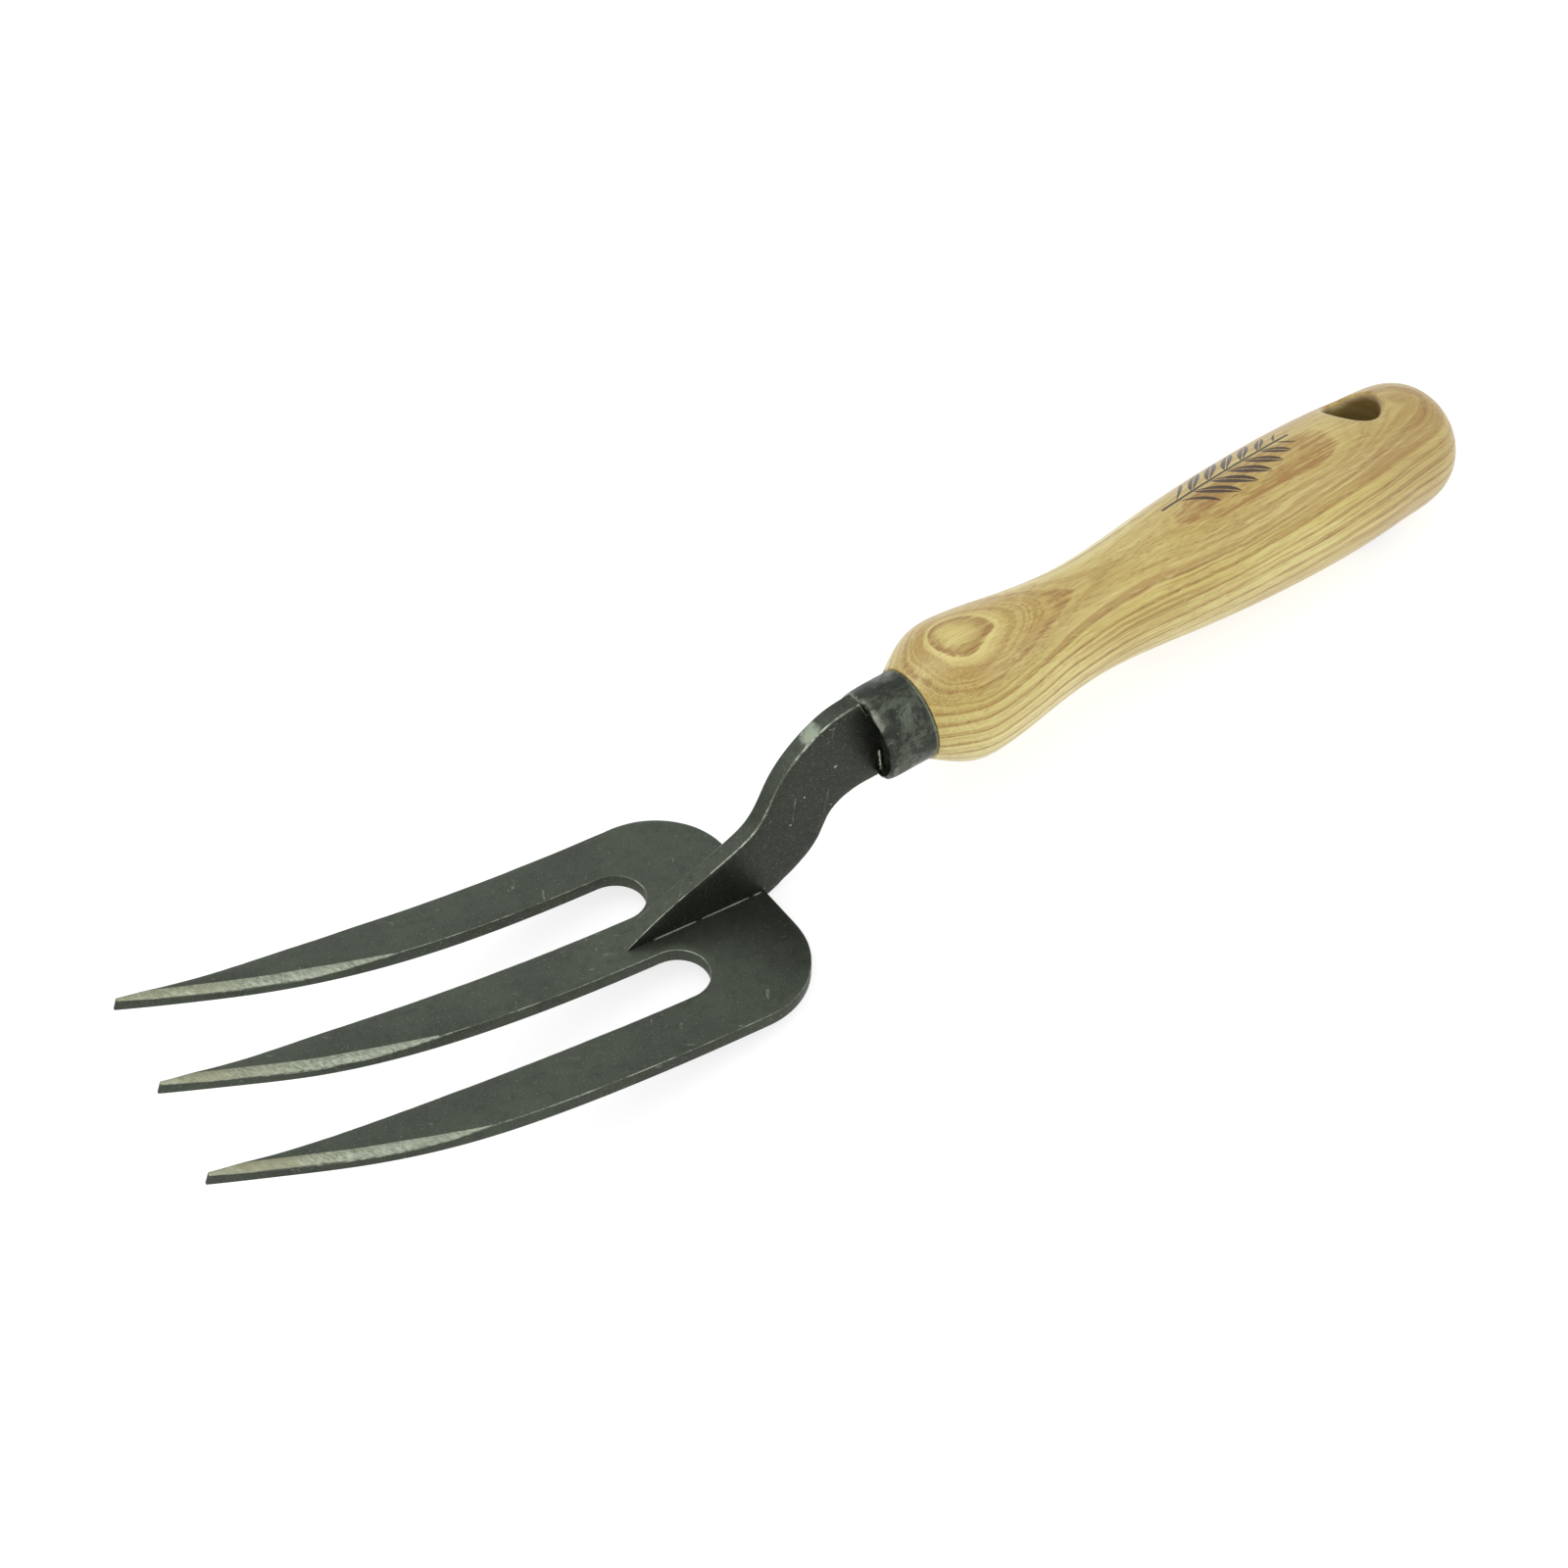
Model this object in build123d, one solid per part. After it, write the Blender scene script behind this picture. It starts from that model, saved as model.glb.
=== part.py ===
from build123d import *
import os
from math import cos, radians, sin, tan

os.makedirs("parts", exist_ok=True)

# A three-tine garden hand fork: a flat steel head, a flat bar on edge as its neck,
# a cupped ferrule and a turned ash handle. It is drawn with its plate level, tips at
# x = 0, handle towards +X, the top of the plate at z = 0, and then laid down to rest.

# Driving dimensions, in mm
SHEET = 3.0  # thickness of the plate
BAR = 4.0  # thickness of the neck bar
PLATE_REAR = 124.3  # from the tips to the rear edge of the plate
PLATE_HALF = 31.4  # half the width across the shoulders
SHOULDER_RADIUS = 17.5
TINE_PITCH = 23.0
SLOT_END = 96.7  # centre of the round end of each gap
SLOT_RADIUS = 6.7
SLOT_SHIFT = 1.1  # each gap's round end lies this much outside the middle of the pitch
TIP_RISE = 18.2  # how far the tips curve up
RISE_POWER = 2.9
BEVEL_ANGLE = 36.0  # of the ground edge of each tine, from the tine's top
FERRULE_FRONT = (149.4, 28.3)  # x and z of the centre of the ferrule's front
HANDLE_TILT = 8.0  # the handle rises towards its end
FERRULE_LENGTH = 11.5
FERRULE_RADIUS = 10.1
FERRULE_BORE = 8.75
SHOULDER_STEP = 0.3  # the wood stands this far above the ferrule
RIM_DEPTH = 2.6  # the front wall is set back from the rim
RIM_ROUND = ((8.55, 0.5), (8.8, 0.0), (9.2, 0.0), (9.7, 0.6), (9.95, 2.2))  # radius and distance along
WALL = 2.0
TANG_HEIGHT = 9.0
TANG_END = 62.0  # from the ferrule's front
BUTT = 159.6  # from the ferrule's front to the end of the handle
HOLE_STATION = 137.0
HOLE_RADIUS = 6.0
HOLE_EDGE = 1.5  # eased edge of the hanging hole
HOLE_TURN = 15.0  # the handle is turned this far about its axis on the tang
LYING_PITCH = 12.0  # lays the tool on the rear of its plate and on its butt

# Plan of one tine: distance from the tip, and half-widths there
STATIONS = (-2.0, 12.0, 25.0, 44.0, 66.0, SLOT_END)
SLOT_Y = TINE_PITCH / 2 + SLOT_SHIFT
CENTRE_HALF = (0.1, 1.5, 3.4, 5.0, 5.65, SLOT_Y - SLOT_RADIUS)
INNER_HALF = (0.1, 0.95, 2.2, 3.6, 4.1, TINE_PITCH - SLOT_Y - SLOT_RADIUS)
OUTER_HALF = (0.1, 1.9, 4.1, 6.4, 7.4, 8.05)

# How far the ground bevel cuts down each tine's -Y edge: distance from the tip, depth
BEVEL = ((-3.0, 0.75), (8.0, 1.1), (20.0, 1.25), (34.0, 1.2), (43.0, 0.75), (52.0, 0.0), (60.0, -0.7))
CUTTER = (2.0, 6.0)  # the cutter reaches this far outside and inside the edge

# Handle outline: distance from the ferrule's front, radius
HANDLE = ((14.2, 12.2), (20.5, 15.2), (26.5, 15.45), (43.5, 13.2), (55.5, 12.3),
          (79.0, 14.1), (112.0, 16.3), (139.0, 15.6))
DOME = ((12.0, 15.1), (6.2, 13.5), (2.3, 9.8), (0.4, 4.6), (0.0, 0.0))  # distance from the butt, radius


def top_height(x):
    """Height of the head's top face at x: flat at the rear, curling up to the tips."""
    return TIP_RISE * max((PLATE_REAR - x) / PLATE_REAR, 0.0) ** RISE_POWER


def axis_point(along, up=0.0, side=0.0):
    """A point by the handle's axis, measured from the ferrule's front."""
    tilt = radians(HANDLE_TILT)
    x, z = FERRULE_FRONT
    return Vector(x + along * cos(tilt) - up * sin(tilt), side, z + along * sin(tilt) + up * cos(tilt))


def xz_plate(points_face, thickness):
    """A face drawn in XZ, given thickness about y = 0."""
    return extrude(points_face, amount=thickness / 2, both=True)


# Head: the plan cut through a curved strip of sheet


def strip_face():
    """Side view of the bent sheet, from the tips to the rear edge."""
    xs = [PLATE_REAR * i / 10 for i in range(11)]
    top = [Vector(x, 0, top_height(x)) for x in xs]
    bottom = []
    for x, point in zip(xs, top):
        slope = (top_height(x + 0.5) - top_height(x - 0.5)) if x < PLATE_REAR - 1 else 0.0
        normal = Vector(-slope, 0, 1).normalized()
        bottom.append(point - normal * SHEET)
    ends = [Line(top[-1], bottom[-1]), Line(bottom[0], top[0])]
    return make_face([Spline(top), ends[0], Spline(bottom[::-1]), ends[1]])


def tine_edge(halves, centre, sign):
    return [Vector(x, centre + sign * half) for x, half in zip(STATIONS, halves)]


def plan_face():
    """Outline of the head from above."""
    rear_start = Vector(PLATE_REAR - SHOULDER_RADIUS, PLATE_HALF)
    arc_centre = Vector(PLATE_REAR - SHOULDER_RADIUS, PLATE_HALF - SHOULDER_RADIUS)
    diagonal = SHOULDER_RADIUS * cos(radians(45))
    edges = []
    for side in (1, -1):

        def put(x, y):
            return Vector(x, side * y)

        outer = tine_edge(OUTER_HALF, TINE_PITCH, 1)[:-1] + [rear_start]
        inner = tine_edge(INNER_HALF, TINE_PITCH, -1)
        centre = tine_edge(CENTRE_HALF, 0, 1)
        for points in (outer, inner, centre):
            line = [put(p.X, p.Y) for p in points]
            edges.append(Spline(line))
        edges.append(Line(put(STATIONS[0], outer[0].Y), put(STATIONS[0], inner[0].Y)))
        edges.append(ThreePointArc(put(SLOT_END, inner[-1].Y), put(SLOT_END + SLOT_RADIUS, SLOT_Y),
                                   put(SLOT_END, centre[-1].Y)))
        edges.append(ThreePointArc(put(rear_start.X, rear_start.Y),
                                   put(arc_centre.X + diagonal, arc_centre.Y + diagonal),
                                   put(PLATE_REAR, arc_centre.Y)))
    edges.append(Line(Vector(PLATE_REAR, arc_centre.Y), Vector(PLATE_REAR, -arc_centre.Y)))
    edges.append(Line(Vector(STATIONS[0], CENTRE_HALF[0]), Vector(STATIONS[0], -CENTRE_HALF[0])))
    return make_face(edges)


def edge_y(x, tine):
    """Where the -Y edge of a tine (-1, 0 or 1) runs at x, straight between stations."""
    halves = {-1: OUTER_HALF, 0: CENTRE_HALF, 1: INNER_HALF}[tine]
    x = min(max(x, STATIONS[0]), SLOT_END)
    for i in range(len(STATIONS) - 1):
        if x <= STATIONS[i + 1]:
            share = (x - STATIONS[i]) / (STATIONS[i + 1] - STATIONS[i])
            return tine * TINE_PITCH - halves[i] - share * (halves[i + 1] - halves[i])


def bevel_cutter(tine):
    """What the grindstone takes off one tine: a wedge above its -Y edge."""
    slope = tan(radians(BEVEL_ANGLE))
    faces = []
    for x, depth in BEVEL:
        y, z = edge_y(x, tine), top_height(x) - depth
        low = Vector(x, y - CUTTER[0], z - CUTTER[0] * slope)
        high = Vector(x, y + CUTTER[1], z + CUTTER[1] * slope)
        faces.append(make_face(Polyline([low, high, Vector(x, low.Y, high.Z)], close=True)))
    return loft(faces, ruled=True)


strip = extrude(strip_face(), amount=PLATE_HALF + 5, both=True)
head = strip & extrude(plan_face(), amount=40, both=True)
for tine in (-1, 0, 1):
    head = head - bevel_cutter(tine)

# Neck: a flat bar on edge that lies along the plate and runs into the handle as a tang

NECK_TOP = ((98.0, 4.9), (107.9, 10.0), (117.2, 14.7), (121.4, 17.5), (124.3, 21.6), (126.7, 26.5),
            (130.4, 31.5), (135.1, 35.6), (140.4, 38.6))
NECK_BELOW = ((147.2, 18.1), (143.6, 16.9), (140.2, 14.2), (137.6, 9.0), (134.0, 4.5), (129.7, 1.3),
              (PLATE_REAR + 1.0, -1.3))
NECK_POINT = Vector(90.8, 0, 0)
NECK_REACH = (12.1, 9.9)  # above and below the handle's axis, at the ferrule
SEAT_REACH = 8.2  # the part of the bar's end that sits inside the ferrule's rim
END_GAP = 1.4  # the bar's top corner stands this far off the ferrule
HEEL = 3.0  # the bar's bottom corner lies this far along the ferrule
TANG_TIP = 2.0


def neck_face():
    """Side view of the bar with its tang."""
    reach_up, reach_down = NECK_REACH
    foot = Vector(NECK_POINT.X, 0, -SHEET / 2)
    upper_end = [(-END_GAP, reach_up), (0, SEAT_REACH), (RIM_DEPTH, SEAT_REACH)]
    tang = [(RIM_DEPTH, TANG_HEIGHT / 2), (TANG_END, TANG_TIP / 2), (TANG_END, -TANG_TIP / 2),
            (RIM_DEPTH, -TANG_HEIGHT / 2)]
    lower_end = [(RIM_DEPTH, -SEAT_REACH), (HEEL, -SEAT_REACH), (HEEL, -reach_down)]
    end_points = [axis_point(along, up) for along, up in upper_end + tang + lower_end]
    top = [NECK_POINT] + [Vector(x, 0, z) for x, z in NECK_TOP] + [end_points[0]]
    below = [end_points[-1]] + [Vector(x, 0, z) for x, z in NECK_BELOW]
    return make_face([
        Line(foot, NECK_POINT),
        Spline(top),
        Polyline(end_points),
        Spline(below),
        Polyline([below[-1], Vector(PLATE_REAR, 0, below[-1].Z), Vector(PLATE_REAR - 1, 0, foot.Z), foot]),
    ])


neck = xz_plate(neck_face(), BAR) - extrude(strip_face(), amount=PLATE_HALF, both=True)

# Ferrule: a short tube with a wall set back from its front rim


def turned(edges):
    """Turn a profile about the handle's axis. In it x is the radius and z the distance along."""
    axis_plane = Plane(origin=axis_point(0), x_dir=Vector(0, 1, 0), z_dir=axis_point(1) - axis_point(0))
    return axis_plane * revolve(make_face(edges), axis=Axis.Z)


def ferrule_solid():
    web = RIM_DEPTH + WALL
    cup = [(0, RIM_DEPTH), (RIM_ROUND[0][0], RIM_DEPTH)]
    socket = [(FERRULE_RADIUS, FERRULE_LENGTH), (FERRULE_BORE, FERRULE_LENGTH), (FERRULE_BORE, web), (0, web)]
    outline = cup + list(RIM_ROUND) + socket
    return turned(Polyline([Vector(r, 0, z) for r, z in outline], close=True)) - neck


# Handle: turned ash with a spigot in the ferrule, bored for the tang and for hanging


def handle_solid():
    shoulder = FERRULE_RADIUS + SHOULDER_STEP
    outer = [Vector(shoulder, 0, FERRULE_LENGTH)] + [Vector(r, 0, s) for s, r in HANDLE]
    dome = Spline([outer[-1]] + [Vector(r, 0, BUTT - back) for back, r in DOME])
    web = RIM_DEPTH + WALL
    body = turned([
        Polyline([(0, 0, BUTT), (0, 0, web), (FERRULE_BORE, 0, web), (FERRULE_BORE, 0, FERRULE_LENGTH),
                  (shoulder, 0, FERRULE_LENGTH)]),
        Spline(outer),
        dome,
    ])
    turn = radians(HOLE_TURN)
    drill = axis_point(HOLE_STATION, cos(turn), sin(turn)) - axis_point(HOLE_STATION)
    hole_plane = Plane(origin=axis_point(HOLE_STATION), z_dir=drill)
    hole = hole_plane * Cylinder(HOLE_RADIUS, 4 * HANDLE[-1][1])
    body = body - neck - hole
    rims = [e for e in body.edges() if abs(hole_reach(e, hole_plane) - HOLE_RADIUS) < 0.2]
    return fillet(rims, HOLE_EDGE)


def hole_reach(edge, plane):
    """Distance of an edge's middle from the hole's axis."""
    middle = plane.to_local_coords(edge @ 0.25)
    return (middle.X ** 2 + middle.Y ** 2) ** 0.5


# Welds: three stitches on each side of the bar's foot, and a bead on each side at the ferrule

STITCHES = ((97.5, 107.9), (108.8, 120.4), (121.3, PLATE_REAR - 0.8))  # from and to, along x
STITCH_LEG = 0.9
FERRULE_BEAD = (-7.9, -1.5)  # from and to, above the handle's axis
FERRULE_BEAD_LEG = 1.4


def stitch(start, end, side):
    """A small three-cornered bead in the corner between the plate and the bar."""
    y = side * BAR / 2
    faces = []
    for x in (start, end):
        corners = [Vector(x, y, 0), Vector(x, y + side * STITCH_LEG, 0), Vector(x, y, STITCH_LEG)]
        faces.append(make_face(Polyline(corners, close=True)))
    return loft(faces, ruled=True)


def plate_weld(side):
    return Compound([stitch(start, end, side) - strip for start, end in STITCHES])


def ferrule_weld(side):
    """A bead up the side of the bar's end, sitting on the ferrule's set-back wall."""
    faces = []
    for up in FERRULE_BEAD:
        corner = axis_point(RIM_DEPTH, up, side * BAR / 2)
        out = axis_point(RIM_DEPTH, up, side * (BAR / 2 + FERRULE_BEAD_LEG))
        ahead = axis_point(RIM_DEPTH - FERRULE_BEAD_LEG, up, side * BAR / 2)
        faces.append(make_face(Polyline([corner, out, ahead], close=True)))
    return loft(faces, ruled=True)


# Lay the tool down: it rests on the rear edge of its plate and on its butt

nodes = {
    "fork_head": head,
    "neck_bar": neck,
    "ferrule": ferrule_solid(),
    "handle": handle_solid(),
    "plate_weld_right": plate_weld(-1),
    "plate_weld_left": plate_weld(1),
    "ferrule_weld_right": ferrule_weld(-1),
    "ferrule_weld_left": ferrule_weld(1),
}
nodes = {name: Rot(0, LYING_PITCH, 0) * shape for name, shape in nodes.items()}
box = Compound(list(nodes.values())).bounding_box()
shift = Vector(-(box.min.X + box.max.X) / 2, 0, -box.min.Z)
for name, shape in nodes.items():
    export_step(Pos(shift) * shape, f"parts/{name}.step")
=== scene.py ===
import math

import bmesh
import bpy
import numpy as np
from mathutils import Matrix, Vector, geometry, kdtree, noise


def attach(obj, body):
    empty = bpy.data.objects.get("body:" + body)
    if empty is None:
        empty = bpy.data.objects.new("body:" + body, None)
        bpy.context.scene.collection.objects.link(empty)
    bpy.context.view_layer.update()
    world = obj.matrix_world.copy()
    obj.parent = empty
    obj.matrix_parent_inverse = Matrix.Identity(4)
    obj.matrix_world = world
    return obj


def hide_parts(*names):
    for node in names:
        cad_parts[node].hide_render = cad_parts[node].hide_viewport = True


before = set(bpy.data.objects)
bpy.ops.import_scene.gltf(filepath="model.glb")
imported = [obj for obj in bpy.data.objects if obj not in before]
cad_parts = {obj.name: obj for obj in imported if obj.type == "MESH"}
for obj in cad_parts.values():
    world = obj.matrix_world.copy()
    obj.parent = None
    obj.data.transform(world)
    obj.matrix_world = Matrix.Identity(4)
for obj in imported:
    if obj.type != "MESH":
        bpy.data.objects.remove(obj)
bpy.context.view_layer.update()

# Shapes are drawn in mm in the tool's own frame: tips at x = 0, handle towards +X, top of the plate at z = 0.
# LAY turns that frame into the row frame, where the tool lies on the rear of its plate and on its butt.
LYING = math.radians(12.0)
LAY = Matrix.Translation((-0.15668, 0.0, 0.02878)) @ Matrix.Rotation(LYING, 4, "Y") @ Matrix.Scale(0.001, 4)

SHEET = 3.0
BAR = 4.0
PLATE_REAR = 124.3
PLATE_HALF = 31.4
SHOULDER_RADIUS = 17.5
TINE_PITCH = 23.0
SLOT_END = 96.7
SLOT_RADIUS = 6.7
SLOT_Y = 12.6
TIP_RISE = 18.2
RISE_POWER = 2.9
BEVEL_SLOPE = math.tan(math.radians(36.0))
FERRULE_FRONT = (149.4, 28.3)
HANDLE_TILT = math.radians(8.0)
HANDLE_TURN = math.radians(15.0)

EDGE_LEFT = 0.6  # the grindstone leaves at least this much of the sheet's edge
WEAR_DEPTH = 0.29  # how rounded a worn edge is: its middle lies this share of its width in
CORNER_GAP = 0.05  # points closer than this are one corner

# Half widths of the tines' sides at stations along x; the outer ones end at the shoulder's arc
STATIONS = (-2.0, 12.0, 25.0, 44.0, 66.0, SLOT_END)
CENTRE_HALF = (0.1, 1.5, 3.4, 5.0, 5.65, 5.9)
INNER_HALF = (0.1, 0.95, 2.2, 3.6, 4.1, 3.7)
OUTER_HALF = (0.1, 1.9, 4.1, 6.4, 7.4)
# Along x, how deep the grindstone cut into the edge
BEVEL = ((0.0, 0.85), (8.0, 1.1), (20.0, 1.25), (34.0, 1.2), (43.0, 0.75), (52.0, 0.0))


# ---------------------------------------------------------------- small maths


def lay(x, y, z):
    """A point of the tool's own frame, in mm, as a point of the row frame, in metres."""
    return LAY @ Vector((x, y, z))


def beside_axis(along, up):
    """The x and z of a point by the handle's axis, in the tool's own frame."""
    c, s = math.cos(HANDLE_TILT), math.sin(HANDLE_TILT)
    return (FERRULE_FRONT[0] + along * c - up * s, FERRULE_FRONT[1] + along * s + up * c)


def along_handle(along, up=0.0, side=0.0):
    """A point by the handle's axis, measured from the ferrule's front, in the row frame."""
    x, z = beside_axis(along, up)
    return lay(x, side, z)


def rough(x, y, z, size, seed=0.0):
    """Smooth noise from -1 to 1 whose bumps are about size apart."""
    return noise.noise(Vector((x / size + seed, y / size - seed, z / size + 2.0 * seed)))


def spline(points, step):
    """A natural cubic through 2-D points, walked in steps."""
    p = np.array(points, float)
    n = len(p)
    h = np.linalg.norm(np.diff(p, axis=0), axis=1)
    a, r = np.eye(n), np.zeros((n, 2))
    for i in range(1, n - 1):
        a[i, i - 1:i + 2] = h[i - 1], 2 * (h[i - 1] + h[i]), h[i]
        r[i] = 6 * ((p[i + 1] - p[i]) / h[i] - (p[i] - p[i - 1]) / h[i - 1])
    m = np.linalg.solve(a, r)
    walk = []
    for i in range(n - 1):
        parts = max(2, math.ceil(h[i] / step))
        for j in range(parts):
            u = h[i] * j / parts
            v = h[i] - u
            walk.append(m[i] * v ** 3 / (6 * h[i]) + m[i + 1] * u ** 3 / (6 * h[i])
                        + (p[i] / h[i] - m[i] * h[i] / 6) * v + (p[i + 1] / h[i] - m[i + 1] * h[i] / 6) * u)
    return [tuple(q) for q in walk] + [tuple(p[-1])]


def straight(a, b, step):
    parts = max(1, math.ceil(math.dist(a, b) / step))
    return [(a[0] + (b[0] - a[0]) * i / parts, a[1] + (b[1] - a[1]) * i / parts) for i in range(parts + 1)]


def arc(centre, radius, start, end, parts):
    turns = [math.radians(start + (end - start) * i / parts) for i in range(parts + 1)]
    return [(centre[0] + radius * math.cos(t), centre[1] + radius * math.sin(t)) for t in turns]


def loop_of(runs):
    """Runs of points joined into one closed outline, counter-clockwise."""
    loop = []
    for run in runs:
        for p in run:
            if not loop or math.dist(loop[-1], p) > CORNER_GAP:
                loop.append(p)
    if math.dist(loop[0], loop[-1]) < CORNER_GAP:
        loop.pop()
    area = sum(a[0] * b[1] - b[0] * a[1] for a, b in zip(loop, loop[1:] + loop[:1]))
    return loop if area > 0 else loop[::-1]


def shrunk(loop, amounts):
    """The outline moved inwards by its own amount at each point."""
    out = []
    for i, p in enumerate(loop):
        a, b = Vector(loop[i - 1]), Vector(loop[(i + 1) % len(loop)])
        q = Vector(p)
        before, after = (q - a).normalized(), (b - q).normalized()
        n1, n2 = Vector((-before.y, before.x)), Vector((-after.y, after.x))
        miter = (n1 + n2) / max(1.0 + n1.dot(n2), 0.5)
        q = q + miter * amounts[i]
        out.append((q.x, q.y))
    return out


def inside(points, loop):
    """Which points lie in the outline."""
    p, a = np.array(points), np.array(loop)
    b = np.roll(a, -1, axis=0)
    found = np.zeros(len(p), bool)
    for (ax, ay), (bx, by) in zip(a, b):
        if ay != by:
            crosses = (ay > p[:, 1]) != (by > p[:, 1])
            found ^= crosses & (p[:, 0] < (bx - ax) * (p[:, 1] - ay) / (by - ay) + ax)
    return found


# ---------------------------------------------------------------- mesh builders


def finished(name, bm, materials, sharp=40.0):
    """The bmesh as an object that rides on the tool's one body."""
    bmesh.ops.recalc_face_normals(bm, faces=bm.faces)
    mesh = bpy.data.meshes.new(name)
    bm.to_mesh(mesh)
    bm.free()
    mesh.shade_smooth()
    mesh.set_sharp_from_angle(angle=math.radians(sharp))
    for m in materials:
        mesh.materials.append(m)
    obj = bpy.data.objects.new(name, mesh)
    bpy.context.scene.collection.objects.link(obj)
    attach(obj, "root")
    return obj


ROW_RISE = 0.866  # rows of an even triangle grid, as a share of its spacing
GRID_CLEARANCE = 0.55  # of the spacing, from the grid to the outline and the creases
RING_CLEARANCE = 0.25  # mm, from the creases to the outline


def face_fill(bm, place, ring, ring_verts, creases, spacing):
    """Fills a ring of vertices with well-shaped triangles that follow the creases."""
    coords, edges = [Vector(p) for p in ring], [(i, (i + 1) % len(ring)) for i in range(len(ring))]
    taken = [tuple(p) for p in ring]
    for crease in creases:
        keep = [p for p, ok in zip(crease, inside(crease, ring)) if ok]
        keep = [p for p in keep if min(math.dist(p, q) for q in ring) > RING_CLEARANCE]
        first = len(coords)
        coords += [Vector(p) for p in keep]
        edges += [(first + i, first + i + 1) for i in range(len(keep) - 1)]
        taken += keep
    near = kdtree.KDTree(len(taken))
    for i, p in enumerate(taken):
        near.insert((p[0], p[1], 0.0), i)
    near.balance()
    low, high = np.min(ring, axis=0), np.max(ring, axis=0)
    rise = spacing * ROW_RISE
    rows = int((high[1] - low[1]) / rise) + 1
    cols = int((high[0] - low[0]) / spacing) + 1
    grid = [(low[0] + (i + 0.5 * (j % 2)) * spacing, low[1] + j * rise)
            for j in range(rows) for i in range(cols)]
    grid = [p for p, ok in zip(grid, inside(grid, ring))
            if ok and near.find((p[0], p[1], 0.0))[2] > GRID_CLEARANCE * spacing]
    coords += [Vector(p) for p in grid]
    found, _, faces, origin, _, _ = geometry.delaunay_2d_cdt(coords, edges, [], 1, 1e-5)
    verts = []
    for p, ids in zip(found, origin):
        on_ring = [k for k in ids if k < len(ring)]
        if on_ring:
            verts.append(ring_verts[on_ring[0]])
        else:
            verts.append(bm.verts.new(place(p.x, p.y)))
    made = []
    for f in faces:
        corners = [verts[k] for k in f]
        if len(set(corners)) == 3:
            made.append((bm.faces.new(corners), sum((found[k] for k in f), Vector((0, 0))) / 3))
    return made


def slab(name, outline, place, thick, wear, materials, drop=None, creases=(), spacing=1.8, ease=0.12):
    """A plate cut to an outline, with unevenly worn edges.
    place(u, v, depth) puts a point; wear(u, v) is the width of the worn edge on the upper face; drop(u, v)
    is how far the upper face is ground down. The materials are the upper and lower face, the worn edge,
    the ground part and the sides."""
    face, edge, ground, sides = range(4)
    bm = bmesh.new()
    widths = [wear(*p) for p in outline]

    def sunk(u, v):
        return min(drop(u, v), thick - EDGE_LEFT) if drop else 0.0

    def ring(amounts, depths):
        points = shrunk(outline, amounts)
        return points, [bm.verts.new(place(*q, depth)) for q, depth in zip(points, depths(points))]

    def band(a, b, index):
        for i in range(len(a)):
            j = (i + 1) % len(a)
            f = bm.faces.new((a[i], a[j], b[j], b[i]))
            f.material_index = index

    count = len(outline)
    part_way = [WEAR_DEPTH * w for w in widths]
    _, side_top = ring([0.0] * count, lambda points: [sunk(*p) + w for p, w in zip(outline, widths)])
    _, round_top = ring(part_way, lambda points: [sunk(*q) + w for q, w in zip(points, part_way)])
    top_points, top = ring(widths, lambda points: [sunk(*q) for q in points])
    _, side_low = ring([0.0] * count, lambda points: [thick - ease] * count)
    low_points, bottom = ring([ease] * count, lambda points: [thick] * count)
    band(side_top, round_top, edge)
    band(round_top, top, edge)
    band(side_low, side_top, sides)
    band(bottom, side_low, edge)
    for f, (u, v) in face_fill(bm, lambda u, v: place(u, v, sunk(u, v)), top_points, top, creases, spacing):
        f.material_index = ground if sunk(u, v) > 0.02 else face
    face_fill(bm, lambda u, v: place(u, v, thick), low_points, bottom, [], spacing * 1.5)
    return finished(name, bm, materials)


def lathe(name, profile, segments, dent, materials):
    """A closed profile of (radius, distance along) turned about the handle's axis."""
    bm = bmesh.new()
    rows = []
    for r, s in profile:
        if r < 1e-6:
            rows.append([bm.verts.new(along_handle(s))])
            continue
        row = []
        for k in range(segments):
            t = 2 * math.pi * k / segments
            radius, place = dent(r, s, t)
            row.append(bm.verts.new(along_handle(place, radius * math.cos(t), radius * math.sin(t))))
        rows.append(row)
    for a, b in zip(rows, rows[1:]):
        for k in range(segments):
            j = (k + 1) % segments
            if len(a) == 1:
                bm.faces.new((a[0], b[j], b[k]))
            elif len(b) == 1:
                bm.faces.new((a[k], a[j], b[0]))
            else:
                bm.faces.new((a[k], a[j], b[j], b[k]))
    return finished(name, bm, materials, 50.0)


def bead(bm, path, radius, seed):
    """A rough weld bead along a path of points, in mm, closed at both ends."""
    rings, count = [], 12
    for i, p in enumerate(path):
        ahead = (Vector(path[min(i + 1, len(path) - 1)]) - Vector(path[max(i - 1, 0)])).normalized()
        u = ahead.orthogonal().normalized()
        v = ahead.cross(u)
        share = i / (len(path) - 1)
        end = math.sqrt(max(0.0, 1 - abs(2 * share - 1) ** 6)) * 0.85 + 0.15
        ring = []
        for k in range(count):
            t = 2 * math.pi * k / count
            r = radius * end * (1 + 0.30 * rough(*p, radius * 1.6, seed) + 0.12 * rough(t * 2, i, seed, 1.3))
            q = Vector(p) + (u * math.cos(t) + v * math.sin(t)) * r
            ring.append(bm.verts.new(lay(*q)))
        rings.append(ring)
    for a, b in zip(rings, rings[1:]):
        for k in range(count):
            j = (k + 1) % count
            bm.faces.new((a[k], a[j], b[j], b[k]))
    bm.faces.new(rings[0])
    bm.faces.new(rings[-1][::-1])


# ---------------------------------------------------------------- node helpers


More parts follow.
